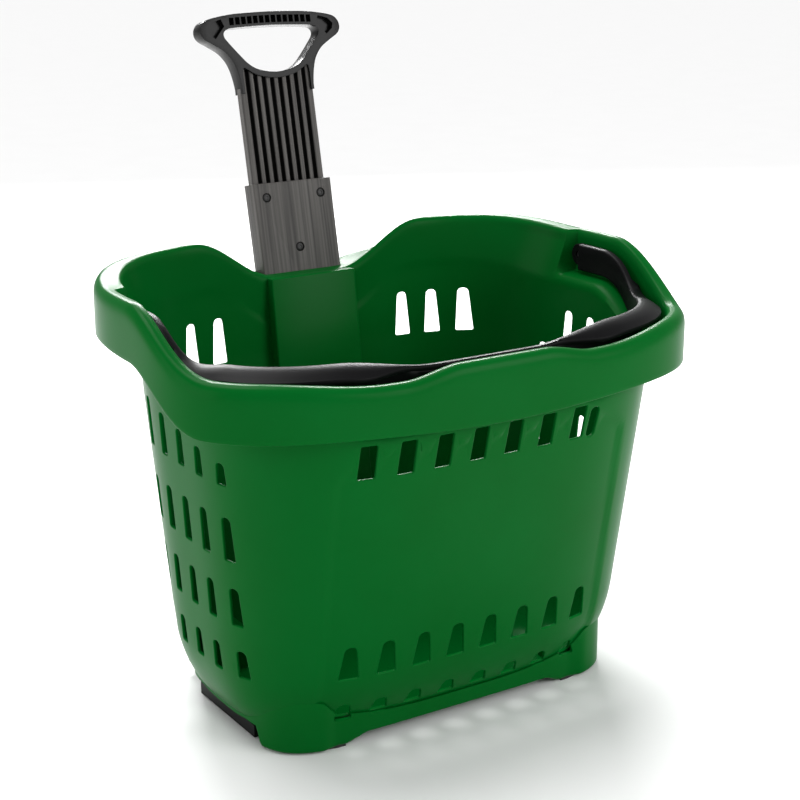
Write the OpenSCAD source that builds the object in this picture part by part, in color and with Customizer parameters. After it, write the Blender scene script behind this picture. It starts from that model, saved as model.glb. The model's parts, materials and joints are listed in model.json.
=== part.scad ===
// Rolling shopping basket with a fold-down bail and a two-stage pull handle.
// Millimetres. X runs along the long side, -Y is the front, Z is up, floor at z = 0.

/* [Basket] */
// Half length of the rim at the ends
rim_a = 273; // [240:1:300]
// Half width of the rim at front and back
rim_b = 177; // [160:1:200]
// Squareness of the plan outline (2 is an ellipse)
plan_power = 3.3; // [2.4:0.1:5]
// Half length of the body where the straight walls start
body_a = 215.5; // [190:0.5:235]
// Half width of the body where the straight walls start
body_b = 129; // [110:1:145]
// Height where the straight walls start
wall_start_z = 85; // [60:1:100]
// Outward lean of the end walls, mm per mm of height
end_draft = 0.066; // [0.03:0.001:0.12]
// Outward lean of the long walls, mm per mm of height
side_draft = 0.16; // [0.1:0.005:0.2]
// Wall thickness of the moulding
wall = 3; // [2.4:0.1:4]
// Underside of the basket floor
floor_z = 10; // [8:1:16]

/* [Rim] */
// Height of the rim crest over the ends
end_top = 409; // [380:1:430]
// Extra height of the rim at the back corners
back_rise = 8; // [0:1:15]
// Depth of the dip in the back rim for the pull handle
back_dip = 43; // [20:1:60]
// Height of the rim crest at the front finger dips
front_top = 354; // [330:1:380]
// Rise in the middle of the front rim
front_hump = 9; // [0:1:15]
// Rise of the front rim towards the corners
front_rise = 8; // [0:1:15]
// Depth of the bail channel below the crest
channel_depth = 41; // [30:1:50]
// How far the rim bulges out behind the pull handle
back_bulge = 28; // [24:1:36]

/* [Wall slots] */
// Slots in each front row
front_count = 8; // [4:1:10]
// Spacing of the front slots
front_pitch = 36.6; // [30:0.2:42]
// Slots in each end row
end_count = 5; // [3:1:6]
// Spacing of the end slots
end_pitch = 34; // [28:0.5:40]
// Slots each side of the handle duct
back_count = 3; // [2:1:4]

/* [Pull handle] */
// Backward lean of the handle in degrees
lean = 12.54; // [8:0.1:16]
// Half width of the outer sleeve
sleeve_half = 44.3; // [38:0.1:50]
// Depth of the outer sleeve
sleeve_deep = 20; // [16:0.5:26]
// Length of the outer sleeve
sleeve_len = 212; // [180:1:240]
// Sheet thickness of the sleeve
sleeve_wall = 2.4; // [1.6:0.1:3]
// Half width of the ribbed blade
blade_half = 41; // [36:0.5:46]
// Number of ribs on the blade
rib_count = 9; // [5:1:13]
// Width of the grip
grip_wide = 158; // [120:1:170]

/* [Bail] */
// Pivot position behind the middle of the ends
pivot_y = 41; // [20:1:60]
// Pivot height
pivot_z = 386; // [370:1:400]
// Thickness of the bail web
web = 7; // [5:0.5:10]
// Height of the bail arms
arm_tall = 27; // [20:1:32]

/* [Wheels] */
// Wheel radius
wheel_r = 22; // [18:1:26]
// Distance of each wheel from the middle
wheel_x = 150; // [130:1:160]
// Axle position towards the back
axle_y = 100; // [92:1:110]
// Axle radius
axle_r = 3; // [2.5:0.5:4]

/* [Hidden] */

segs = 80;             // facets around the moulding
eps = 0.01;            // overlap that keeps cuts clean
fit = 0.3;             // clearance between moving parts
pin_fit = 0.1;         // running clearance on pins
pin_r = 4;             // bail pin radius
green = [0.0, 0.36, 0.12];
graphite = [0.25, 0.25, 0.25];
black = [0.08, 0.08, 0.09];
steel = [0.7, 0.7, 0.72];

handle_root = [197.3, 462.1];        // y and z of the top front edge of the sleeve
blade_front = 7;                     // set-back of the blade behind the sleeve front
blade_deep = 10;
blade_low = -92;                     // lower end of the blade with the handle pulled out
blade_top = 104;
grip_top = 169;

// ---- helpers -------------------------------------------------------------

// The pull handle leans back past the rim, so the whole basket is moved to sit centred on the origin
centre_y = (handle_root[0] + grip_top * sin(lean) + (blade_front + blade_deep + 3) * cos(lean) - rim_b) / 2;
module centred() translate([0, -centre_y, 0]) children();

function clamp01(t) = min(1, max(0, t));
function smooth(t) = let (c = clamp01(t)) c * c * (3 - 2 * c);
function lerp(a, b, t) = a + (b - a) * t;

// Point of a rounded-rectangle outline with half sizes a and b in direction p (degrees)
function outline(a, b, p) =
    let (c = cos(p), s = sin(p), r = pow(pow(abs(c), plan_power) + pow(abs(s), plan_power), -1 / plan_power))
    [a * r * c, b * r * s];

// Share of the rim height step between the low front (0) and the high back (1)
function high_part(y) = smooth((y + 112) / 118);
function dip_part(x) = 1 - smooth((abs(x) - 40) / 100);

// Height of the rim crest above the floor at outline point q
function crest(q) =
    let (front = front_top + front_hump * (1 - smooth((abs(q[0]) - 45) / 60))
                 + front_rise * smooth((abs(q[0]) - 120) / 110),
         back = end_top + back_rise * smooth((q[1] - 60) / 100)
                - (q[1] > 0 ? back_dip * dip_part(q[0]) : 0))
    lerp(front, back, high_part(q[1]));

// Height of the lower edge of the rim skirt at outline point q
function skirt(q) =
    let (front = 306 + 7 * smooth(abs(q[0]) / 200),
         back = 358 + 4 * smooth(q[1] / 100) - (q[1] > 0 ? 40 * dip_part(q[0]) : 0))
    lerp(front, back, smooth((q[1] + 105) / 105));

upright_z = 300;                     // the long walls stand nearly upright above this

// Half sizes of the outer wall at height z, with the rounded bottom
function bottom_curve(z) = let (u = clamp01((wall_start_z - z) / (wall_start_z - floor_z))) 1 - sqrt(1 - u * u);
function wall_a(z) = body_a + end_draft * (z - wall_start_z) - 40 * bottom_curve(z);
function wall_b(z) = body_b + side_draft * (min(z, upright_z) - wall_start_z) + 0.06 * max(0, z - upright_z)
                     - 30 * bottom_curve(z);

// ---- basket moulding -----------------------------------------------------

// The rim carries the bail channel from the pivots forward
function has_channel(q) = q[1] < pivot_y + 20;

// One ring of the moulding in direction p: a and b are insets from the rim outline
function rim_point(p, ia, ib, z, bulges) =
    let (q = outline(rim_a - ia, rim_b - ib, p))
    [q[0], q[1] + (bulges && q[1] > 0 ? back_bulge * (1 - smooth((abs(q[0]) - 58) / 30)) : 0), z];
function body_point(p, t, z) = let (q = outline(wall_a(z) - t, wall_b(z) - t, p)) [q[0], q[1], z];

function shell_column(p) =
    let (q = outline(rim_a, rim_b, p), top = crest(q), low = skirt(q), ch = has_channel(q),
         ia = ch ? 12 : 23, ib = ch ? 12 : 9)
    [
        body_point(p, 0, floor_z), body_point(p, 0, 12), body_point(p, 0, 21), body_point(p, 0, 42),
        body_point(p, 0, wall_start_z), body_point(p, 0, top - 74),
        rim_point(p, ch ? 29 : 37, ch ? 18 : 10, top - channel_depth - 6, false),
        rim_point(p, ch ? ia : ia + 5, ib, top - (ch ? channel_depth + 4 : 24), false),
        rim_point(p, ia, ib, top - 9, false), rim_point(p, 4, 4, top - 9, true),
        rim_point(p, 3, 3, low, true), rim_point(p, 0, 0, low, true),
        rim_point(p, 0, 0, top - 9, true), rim_point(p, 1.5, 1.5, top - 4, true),
        rim_point(p, 5, 5, top - 0.8, true), rim_point(p, 9, 9, top, true),
        rim_point(p, ia + 1, ib + 1, top - 1.2, false), rim_point(p, ia + 3.4, ib + 3.4, top - 6, false),
        rim_point(p, ch ? ia + 4 : ia + 9, ib + 4, top - (ch ? channel_depth : 24), false),
        rim_point(p, ch ? 32.4 : 40.5, ch ? 21 : 13.5, top - channel_depth - 2, false),
        body_point(p, wall, top - 74), body_point(p, wall, wall_start_z), body_point(p, wall, 42),
        body_point(p, wall, 24), body_point(p, wall, floor_z + wall)
    ];

module shell() {
    columns = [for (i = [0:segs - 1]) shell_column(360 * i / segs)];
    rings = len(columns[0]);
    points = concat([for (c = columns) for (v = c) v], [[0, 0, floor_z], [0, 0, floor_z + wall]]);
    under = segs * rings;
    faces = concat(
        [for (i = [0:segs - 1]) for (k = [0:rings - 2]) let (j = (i + 1) % segs)
            [i * rings + k, i * rings + k + 1, j * rings + k + 1]],
        [for (i = [0:segs - 1]) for (k = [0:rings - 2]) let (j = (i + 1) % segs)
            [i * rings + k, j * rings + k + 1, j * rings + k]],
        [for (i = [0:segs - 1]) let (j = (i + 1) % segs) [under, i * rings, j * rings]],
        [for (i = [0:segs - 1]) let (j = (i + 1) % segs)
            [under + 1, j * rings + rings - 1, i * rings + rings - 1]]);
    polyhedron(points, faces, convexity = 8);
}

// Tapered slot outline, wide at the bottom, rounded at the top
module slot_prism(wide, narrow, tall, deep) {
    r = narrow * 0.45;
    rotate([90, 0, 0])
        hull() {
            linear_extrude(deep, center = true)
                polygon([[-wide / 2, 0], [wide / 2, 0], [narrow / 2, tall - r], [narrow / 2 - r, tall],
                         [r - narrow / 2, tall], [-narrow / 2, tall - r]]);
        }
}

module front_slots() {
    for (i = [0:front_count - 1]) {
        x = (i - (front_count - 1) / 2) * front_pitch;
        if (i < front_count - 1) translate([x, -160, 268]) slot_prism(16, 15, 38, 60);
        translate([x, -140, 71]) slot_prism(19, 12, 33, 60);
        translate([x * 0.99, -110, 27]) slot_prism(17, 13, 14, 50);
    }
    // The last slot of the top row is a narrow one close to its neighbour
    translate([110, -160, 266]) slot_prism(11, 11, 33, 60);
}

module end_slots() {
    rows = [[187, 13, 41], [125, 12.5, 36], [73, 12, 27]];
    for (side = [-1, 1])
        for (i = [0:end_count - 1]) {
            y = (i - (end_count - 1) / 2) * end_pitch;
            tall_pair = side > 0 && (i == 2 || i == 3);
            wide = tall_pair ? 15 : 12;
            translate([side * 220, y, 258]) rotate([0, 0, 90])
                slot_prism(wide, wide * 0.85, tall_pair ? 72 : 20 + 6.5 * i, 60);
            for (row = rows)
                translate([side * 220, y, row[0]]) rotate([0, 0, 90])
                    slot_prism(row[1], row[1] * 0.85, row[2], 60);
        }
}

module back_slots() {
    for (side = [-1, 1])
        for (i = [0:back_count - 1])
            translate([side * (107 + 33 * i), 145, 296]) slot_prism(17, 11, 45, 70);
}

module floor_slots() {
    for (x = [-100:50:100])
        for (y = [-54, 0, 54])
            translate([x - 5, y - 18, floor_z - 5]) cube([10, 36, 12]);
}

// Places children in the handle frame: origin at the top of the sleeve's front face
module handle_frame() {
    translate([0, handle_root[0], handle_root[1]]) rotate([-lean, 0, 0]) children();
}

duct_top = -92;                      // along the handle frame
duct_low = -312;
duct_bridge = -150;                  // below this the duct is closed by the cover
duct_half = sleeve_half + 0.5;
duct_back = sleeve_deep + 0.6;
cover_half = duct_half + 15.5;
cover_mid = duct_half + 9.5;
cover_rows = [-166, -296];            // heights of the cover screws

// A handle-frame point with depth v and height w, as [y, z]
function leaned(v, w) = [handle_root[0] + w * sin(lean) + v * cos(lean), handle_root[1] + w * cos(lean) - v * sin(lean)];

module duct_block() {
    // Inner panel, parallel to the back wall and standing proud of it
    rotate([90, 0, 90])
        linear_extrude(2 * duct_half + 8, center = true)
            polygon([[156.5, 372], [124.5, 157.5], leaned(duct_back - 1.3, duct_low + 0.7),
                     leaned(duct_back - 1.3, duct_top - 0.6)]);
    handle_frame() {
        translate([-cover_half, 9, duct_low]) cube([2 * cover_half, duct_back - 9, duct_top - duct_low]);
        translate([-cover_half, 9, duct_bridge]) cube([2 * cover_half, duct_back - 5.4, duct_top - duct_bridge]);
    }
}

module duct_cuts() {
    handle_frame() {
        translate([-duct_half, -0.6, duct_low - 5]) cube([2 * duct_half, duct_back + 0.6, duct_top - duct_low + 30]);
        translate([-duct_half, 2, duct_low - 5]) cube([2 * duct_half, 40, duct_bridge - duct_low + 5]);
        // Grooves for the stop lugs
        translate([-duct_half - 3, 8, duct_low - 5]) cube([2 * duct_half + 6, 6, 17.1 - sleeve_len - duct_low]);
        for (x = [-1, 1]) {
            // Coring of the side walls between the screw bosses
            translate([x * cover_mid - 3.8, 12, -284]) cube([7.6, duct_back, 108]);
            for (w = cover_rows)
                translate([x * cover_mid, duct_back - 14, w]) rotate([-90, 0, 0]) cylinder(h = 20, r = 1.9, $fn = 16);
        }
    }
}

well_half = 19.5;
well_top = 49;
well_front = 73;
well_deep = 42;

module wheel_wells(grow) {
    for (x = [-1, 1])
        translate([x * wheel_x - well_half - grow, well_front - grow, -1])
            cube([2 * (well_half + grow), (grow > 0 ? well_deep : well_deep + 40), well_top + 1 + grow]);
}

module basket_body() {
    color(green) centred()
        difference() {
            union() {
                difference() {
                    union() {
                        shell();
                        base_ring();
                    }
                    front_slots();
                    end_slots();
                    back_slots();
                    floor_slots();
                }
                intersection() {
                    union() {
                        duct_block();
                        wheel_wells(wall);
                        screw_bosses();
                    }
                    inside_limit();
                }
                translate([0, 0, foot_z]) corner_block(24, 1.1);
                for (x = [-1, 1]) pivot_boss(x);
            }
            duct_cuts();
            wheel_wells(0);
            for (x = [-1, 1]) pivot_bore(x);
            carrier_holes();
            stud_holes();
        }
}

// Keeps the added blocks above the floor and inside the outer skin
module inside_limit() {
    translate([-rim_a, -rim_b, floor_z]) cube([2 * rim_a, 2 * rim_b + 60, 362]);
}

// ---- base ring: a low skirt under the tub that drops into the two front feet

base_a = 193;
base_b = 107;
base_power = 5;
foot_bulge = 5;                      // how far the feet stand out in front of the ring
base_front = 8;                      // lower edge in the middle of the front
base_side = 20;                      // lower edge at the ends and the back
foot_edge = 1;                       // lower edge round the feet, just above the floor

function base_outline(p, inset) =
    let (c = cos(p), s = sin(p), r = pow(pow(abs(c), base_power) + pow(abs(s), base_power), -1 / base_power),
         x = (base_a - inset) * r * c, bulge = s < 0 ? foot_bulge * smooth((abs(x) - 88) / 34) : 0)
    [x, (base_b + bulge - inset) * r * s];

// Lower edge of the ring at outline point q
function base_low(q) =
    q[1] < -66 ? lerp(base_front, foot_edge, smooth((abs(q[0]) - 104) / 24))
               : lerp(foot_edge, base_side, smooth((q[1] + 66) / 6));

// Height where the tub wall passes over plan point q
function outside(q, z) = pow(abs(q[0]) / wall_a(z), plan_power) + pow(abs(q[1]) / wall_b(z), plan_power) > 1;
function tub_over(q, low, high, turns) =
    turns == 0 ? high : let (z = (low + high) / 2) outside(q, z) ? tub_over(q, z, high, turns - 1)
                                                                 : tub_over(q, low, z, turns - 1);

module base_ring() {
    steps = 60;
    rows = [for (i = [0:steps - 1])
        let (p = 360 * i / steps, q = base_outline(p, 0), n = base_outline(p, wall),
             top = tub_over(q, floor_z, wall_start_z, 8) + 1.2, low = min(base_low(q), top - 3))
        [[q[0], q[1], low], [q[0], q[1], top], [n[0], n[1], top], [n[0], n[1], low]]];
    faces = concat(
        [for (i = [0:steps - 1]) for (k = [0:3]) let (j = (i + 1) % steps, m = (k + 1) % 4)
            [i * 4 + k, i * 4 + m, j * 4 + m]],
        [for (i = [0:steps - 1]) for (k = [0:3]) let (j = (i + 1) % steps, m = (k + 1) % 4)
            [i * 4 + k, j * 4 + m, j * 4 + k]]);
    polyhedron([for (r = rows) for (v = r) v], faces, convexity = 6);
}

// The two front corners of the base outline, inset and extruded
module corner_block(tall, inset) {
    difference() {
        linear_extrude(tall)
            polygon([for (i = [0:59]) base_outline(6 * i, inset)]);
        translate([-300, -64 - inset, -1]) cube([600, 300, 50]);
        translate([-118 - inset, -200, -1]) cube([236 + 2 * inset, 300, 50]);
    }
}

module screw_bosses() {
    for (s = carrier_spots)
        translate([s[0], s[1], floor_z]) cylinder(h = 13, r = 6, $fn = 20);
}

module pivot_boss(side) {
    translate([side * 261, pivot_y, pivot_z]) rotate([0, 90, 0]) cylinder(h = 8, r = 8, center = true, $fn = 32);
}

module pivot_bore(side) {
    translate([side * 260, pivot_y, pivot_z])
        rotate([0, 90, 0]) cylinder(h = 10 + 2 * eps, r = pin_r + eps, center = true, $fn = 32);
}

// ---- pull handle ---------------------------------------------------------

module duct_cover() {
    color(black) centred()
        handle_frame()
            difference() {
                translate([-cover_half, duct_back + 0.1, duct_low])
                    cube([2 * cover_half, 3, duct_bridge - duct_low - 1]);
                cover_holes(2.2);
            }
}

module cover_holes(r) {
    for (x = [-1, 1])
        for (w = cover_rows)
            translate([x * cover_mid, duct_back - 1, w]) rotate([-90, 0, 0]) cylinder(h = 8, r = r);
}

module duct_cover_screws() {
    color(steel) centred()
        handle_frame()
            for (x = [-1, 1])
                for (w = cover_rows)
                    translate([x * cover_mid, duct_back + 3.1, w]) rotate([90, 0, 0]) screw(1.8, 12, 4, 2);
}

// Pan-head screw: head above the origin plane, shank along +z
module screw(shank, long, head, head_tall) {
    difference() {
        union() {
            cylinder(h = long, r = shank);
            translate([0, 0, -head_tall]) cylinder(h = head_tall, r = head);
        }
        translate([0, 0, -head_tall - eps]) cylinder(h = head_tall * 0.6, r = head * 0.5, $fn = 6);
    }
}

pad_spots = [[-31, -14.5], [31, -14.5], [0, -66.5]];   // x and height of the guide pads
recess_deep = 1.5;                   // the screw heads sit below the sleeve face

module outer_sleeve() {
    inner = sleeve_half - sleeve_wall;
    color(graphite) centred()
        handle_frame()
            difference() {
                translate([-sleeve_half, 0, -sleeve_len]) cube([2 * sleeve_half, sleeve_deep, sleeve_len]);
                translate([-inner, sleeve_wall, -sleeve_len - 1])
                    cube([2 * inner, sleeve_deep - 2 * sleeve_wall, sleeve_len + 2]);
                for (s = pad_spots)
                    translate([s[0], -1, s[1]]) rotate([-90, 0, 0]) {
                        cylinder(h = 4, r = 2.2);
                        cylinder(h = 1 + recess_deep, r = 5);
                    }
            }
}

module sleeve_screws() {
    color(steel) centred()
        handle_frame()
            for (s = pad_spots)
                translate([s[0], recess_deep - 0.02, s[1]]) rotate([-90, 0, 0]) screw(2, 4.2, 4.5, 1.3);
}

module guide_pads() {
    color(black) centred()
        handle_frame()
            for (s = pad_spots)
                difference() {
                    translate([s[0] - 9, sleeve_wall + 0.05, s[1] - 9]) cube([18, 4.1, 18]);
                    translate([s[0], sleeve_wall - 1, s[1]]) rotate([-90, 0, 0]) cylinder(h = 4.6, r = 2.05);
                }
}

module sleeve_stop() {
    color(black) centred()
        handle_frame()
            for (x = [-1, 1])
                translate([x > 0 ? sleeve_half + 0.02 : -sleeve_half - 2.3, 8.8, -sleeve_len + 2])
                    cube([2.28, 4.4, 10]);
}

module pull_handle() {
    color(graphite) centred()
        handle_frame() {
            blade();
            grip();
        }
}

module blade() {
    tall = blade_top - blade_low;
    difference() {
        translate([-blade_half, blade_front, blade_low]) cube([2 * blade_half, blade_deep, tall]);
        // Flutes between the ribs
        for (i = [0:rib_count - 2])
            translate([(i - (rib_count - 2) / 2) * 9.2 - 3.2, blade_front - eps, blade_low - 1])
                cube([6.4, 4, tall + 2]);
        for (x = [-1, 1])
            translate([x * 20, blade_front - 1, blade_low + 10]) rotate([-90, 0, 0]) cylinder(h = 12, r = 2.1);
    }
}

function mirrored(list) = concat(list, [for (i = [len(list) - 1:-1:0]) [-list[i][0], list[i][1]]]);

grip_half = grip_wide / 2;
grip_outer = [[blade_half, blade_top - 14], [44, 112], [48, 123], [55, 132], [66, 139], [grip_half - 3, 145],
              [grip_half, 152], [grip_half - 2, 159], [grip_half - 9, 164], [45, 168], [18, grip_top]];
grip_hole = [[8, 110.5], [20, 113], [30, 119.5], [39, 128.5], [49, 139], [54, 147], [52, 152], [45, 154.6],
             [18, 155.3]];

module grip() {
    difference() {
        translate([0, blade_front + blade_deep + 3, 0]) rotate([90, 0, 0]) linear_extrude(16) polygon(mirrored(grip_outer));
        translate([0, blade_front + blade_deep + 4, 0]) rotate([90, 0, 0]) linear_extrude(20) polygon(mirrored(grip_hole));
        // Cored pockets in the front of the top bar
        for (i = [-6:6])
            translate([i * 6.6 - 2.3, blade_front - 4, 157.6]) cube([4.6, 10, 7.6]);
    }
}

module blade_stop() {
    color(black) centred()
        handle_frame()
            difference() {
                translate([-30, 3.2, blade_low + 4]) cube([60, 3.75, 12.4]);
                for (x = [-1, 1])
                    translate([x * 20, 2, blade_low + 10]) rotate([-90, 0, 0]) cylinder(h = 6, r = 2.1);
            }
}

module blade_rivets() {
    color(steel) centred()
        handle_frame()
            for (x = [-1, 1])
                translate([x * 20, 4.4, blade_low + 10]) rotate([-90, 0, 0]) cylinder(h = 12, r = 2);
}

// ---- bail ----------------------------------------------------------------

bail_steps = 52;
bail_reach = atan(pivot_y / (rim_b - 24.5));   // the arms start this far behind the middle
bail_from = 180 - bail_reach;
bail_to = 360 + bail_reach;

// Rectangular web with an outer flange; section points run round the web
function bail_section(p) =
    let (rim = outline(rim_a, rim_b, p),
         f = smooth((-rim[1] - 20) / 90),
         mid = 1 - smooth((abs(rim[0]) - 60) / 110),
         c = lerp(24.5, 37, f),
         flange = 0.6 + 13 * smooth((-rim[1] - 48) / 14) * smooth((abs(rim[0]) - 92) / 60),
         top = lerp(crest(rim) - 12, lerp(368, 357, mid), f),
         tall = lerp(arm_tall, 24, f),
         w = web / 2,
         edge = max(c - w - flange, 17.5),
         at = function (i, z) let (q = outline(rim_a - i, rim_b - i, p)) [q[0], q[1], z])
    [at(c + w, top - 1), at(c - w, top), at(edge, top - 0.8 * flange),
     at(edge, top - 0.8 * flange - 4), at(c - w, top - 5), at(c - w, top - tall), at(c + w, top - tall)];

module bail_sweep() {
    rows = [for (i = [0:bail_steps]) bail_section(lerp(bail_from, bail_to, i / bail_steps))];
    m = len(rows[0]);
    last = bail_steps * m;
    faces = concat(
        [for (i = [0:bail_steps - 1]) for (k = [0:m - 1]) let (n = (k + 1) % m)
            [i * m + k, (i + 1) * m + k, (i + 1) * m + n]],
        [for (i = [0:bail_steps - 1]) for (k = [0:m - 1]) let (n = (k + 1) % m)
            [i * m + k, (i + 1) * m + n, i * m + n]],
        [[for (k = [0:m - 1]) k], [for (k = [m - 1:-1:0]) last + k]]);
    polyhedron([for (r = rows) for (v = r) v], faces, convexity = 6);
}

module bail_handle() {
    color(black) centred()
        difference() {
            union() {
                bail_sweep();
                for (x = [-1, 1])
                    translate([x * 248.5, pivot_y, pivot_z]) rotate([0, 90, 0]) cylinder(h = web, r = 11, center = true);
            }
            for (x = [-1, 1])
                translate([x * 250, pivot_y, pivot_z])
                    rotate([0, 90, 0]) cylinder(h = web, r = pin_r + pin_fit, center = true);
        }
}

module bail_pin_left() {
    color(steel) centred() bail_pin(-1);
}

module bail_pin_right() {
    color(steel) centred() bail_pin(1);
}

module bail_pin(side) {
    translate([side * 255.5, pivot_y, pivot_z]) rotate([0, 90, 0]) cylinder(h = 17, r = pin_r, center = true);
}

// ---- undercarriage -------------------------------------------------------

carrier_low = 2;
carrier_top = floor_z - 0.1;
cheek_in = 13.6;                     // inner face of the cheeks from the wheel centre
cheek_out = 18.6;
carrier_spots = [for (x = [-1, 1]) for (s = [[138, -28], [172, -28], [156, 46]]) [x * s[0], s[1]]];

module wheel_carrier(side) {
    mirror([side < 0 ? 1 : 0, 0, 0])
        difference() {
            union() {
                translate([128, -48, carrier_low]) cube([50, 104, carrier_top - carrier_low]);
                // Outer edge bar, seen below the ends of the base ring
                translate([176, -48, carrier_low]) cube([11, 108, 5]);
                translate([184.5, -48, carrier_low]) cube([2.5, 108, base_side - carrier_low - 6]);
                for (y = [cheek_in, -cheek_out])
                    translate([wheel_x + y, 54, carrier_low])
                        cube([cheek_out - cheek_in, 22, carrier_top - carrier_low]);
                for (y = [cheek_in, -cheek_out])
                    translate([wheel_x + y, well_front + 1, carrier_low])
                        cube([cheek_out - cheek_in, 37, 28]);
            }
            translate([wheel_x, axle_y, wheel_r]) rotate([0, 90, 0]) cylinder(h = 60, r = axle_r + 0.02, center = true);
            for (s = [[138, -28], [172, -28], [156, 46]]) {
                translate([s[0], s[1], carrier_low - 1]) cylinder(h = 20, r = 2.3);
                translate([s[0], s[1], carrier_low - 1]) cylinder(h = 4, r = 5);
            }
        }
}

module wheel_carrier_left() {
    color(black) centred() wheel_carrier(-1);
}

module wheel_carrier_right() {
    color(black) centred() wheel_carrier(1);
}

module carrier_screws() {
    color(steel) centred()
        for (s = carrier_spots)
            translate([s[0], s[1], carrier_low + 3]) screw(2, 14, 4.5, 2.4);
}

module carrier_holes() {
    for (s = carrier_spots)
        translate([s[0], s[1], floor_z - 1]) cylinder(h = 11, r = 2.1, $fn = 16);
}

module axles() {
    color(steel) centred()
        for (x = [-1, 1])
            translate([x * wheel_x, axle_y, wheel_r])
                rotate([0, 90, 0]) cylinder(h = 2 * cheek_out + 0.4, r = axle_r, center = true);
}

module wheel_washers() {
    color(steel) centred()
        for (x = [-1, 1])
            for (y = [-1, 1])
                translate([x * wheel_x + y * 12.9, axle_y, wheel_r]) rotate([0, 90, 0])
                    difference() {
                        cylinder(h = 1.2, r = 6, center = true);
                        cylinder(h = 2, r = axle_r + 0.05, center = true);
                    }
}

tyre_in = 16;

module wheel_hub(side) {
    translate([side * wheel_x, axle_y, wheel_r]) rotate([0, 90, 0])
        difference() {
            union() {
                cylinder(h = 18, r = tyre_in - 0.05, center = true);
                cylinder(h = 24, r = 7, center = true);
            }
            cylinder(h = 30, r = axle_r + pin_fit, center = true);
            for (z = [-1, 1])
                translate([0, 0, z * 9])
                    difference() {
                        cylinder(h = 8, r = tyre_in - 2.5, center = true);
                        cylinder(h = 10, r = 7, center = true);
                    }
        }
}

module tyre(side) {
    translate([side * wheel_x, axle_y, wheel_r])
        rotate([0, 90, 0])
            rotate_extrude()
                polygon([[tyre_in, -9], [wheel_r - 2, -9], [wheel_r, -7], [wheel_r, 7], [wheel_r - 2, 9], [tyre_in, 9]]);
}

module wheel_hub_left() {
    color(graphite) centred() wheel_hub(-1);
}

module wheel_hub_right() {
    color(graphite) centred() wheel_hub(1);
}

module tyre_left() {
    color(black) centred() tyre(-1);
}

module tyre_right() {
    color(black) centred() tyre(1);
}

foot_z = 3;
stud_spots = [[-158, -76], [-134, -85], [134, -85], [158, -76]];

module foot_pads() {
    color(black) centred()
        difference() {
            corner_block(foot_z - 0.05, 5);
            for (s = stud_spots)
                translate([s[0], s[1], -1]) cylinder(h = 6, r = 2.5);
        }
}

module foot_pad_studs() {
    color(steel) centred()
        for (s = stud_spots)
            translate([s[0], s[1], 1]) cylinder(h = 12, r = 2.45);
}

module stud_holes() {
    for (s = stud_spots)
        translate([s[0], s[1], 0]) cylinder(h = 13.5, r = 2.5, $fn = 16);
}

basket_body();
duct_cover();
duct_cover_screws();
outer_sleeve();
sleeve_screws();
guide_pads();
sleeve_stop();
pull_handle();
blade_stop();
blade_rivets();
bail_handle();
bail_pin_left();
bail_pin_right();
wheel_carrier_left();
wheel_carrier_right();
carrier_screws();
axles();
wheel_washers();
wheel_hub_left();
wheel_hub_right();
tyre_left();
tyre_right();
foot_pads();
foot_pad_studs();
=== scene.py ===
"""Looks of the rolling shopping basket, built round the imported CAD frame.

Lengths in the builders below are millimetres in the row frame; MM turns them into metres.
"""

import json
import math

import bmesh
import bpy
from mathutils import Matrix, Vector
from mathutils.geometry import delaunay_2d_cdt


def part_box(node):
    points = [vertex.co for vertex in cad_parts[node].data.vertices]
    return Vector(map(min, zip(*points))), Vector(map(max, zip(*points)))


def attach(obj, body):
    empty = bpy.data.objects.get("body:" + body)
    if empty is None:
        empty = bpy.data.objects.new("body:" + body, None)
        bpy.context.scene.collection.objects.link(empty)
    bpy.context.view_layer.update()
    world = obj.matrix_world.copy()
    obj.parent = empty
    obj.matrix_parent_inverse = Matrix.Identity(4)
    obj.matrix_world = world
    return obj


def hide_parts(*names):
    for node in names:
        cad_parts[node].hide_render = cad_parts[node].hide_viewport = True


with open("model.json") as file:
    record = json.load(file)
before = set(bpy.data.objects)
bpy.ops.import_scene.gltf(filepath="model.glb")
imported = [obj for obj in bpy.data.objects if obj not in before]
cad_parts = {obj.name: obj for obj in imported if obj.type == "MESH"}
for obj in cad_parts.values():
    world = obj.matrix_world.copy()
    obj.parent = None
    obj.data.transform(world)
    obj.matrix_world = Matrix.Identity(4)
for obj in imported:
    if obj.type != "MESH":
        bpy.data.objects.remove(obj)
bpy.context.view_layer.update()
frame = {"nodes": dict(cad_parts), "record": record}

MM = 0.001
JOINTS = {joint["name"]: joint for joint in frame["record"]["behaviour"]["joints"]}

# ---- measures taken from the frame ----------------------------------------

BODY_LO, BODY_HI = (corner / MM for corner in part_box("basket_body"))
RIM_A = BODY_HI.x
RIM_B = 177.0
PLAN_Y = BODY_LO.y + RIM_B                 # y of the middle of the basket's plan outline

SLIDE = Vector(JOINTS["sleeve_slide"]["axis"])
LEAN = math.atan2(-SLIDE.y, -SLIDE.z)
SLEEVE_LO, SLEEVE_HI = (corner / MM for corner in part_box("outer_sleeve"))
SLEEVE_HALF = SLEEVE_HI.x
SLEEVE_DEEP = 20.0
ROOT_Y = SLEEVE_HI.y - SLEEVE_DEEP * math.cos(LEAN)
ROOT_Z = SLEEVE_HI.z                       # top front edge of the sleeve
SLEEVE_LEN = (ROOT_Y - SLEEVE_LO.y) / math.sin(LEAN)

PIVOT = Vector(JOINTS["bail_fold"]["pos_m"]) / MM
WHEEL = Vector(JOINTS["wheel_right_spin"]["pos_m"]) / MM
WHEEL_R = WHEEL.z

# ---- measures of the moulding ----------------------------------------------

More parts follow.
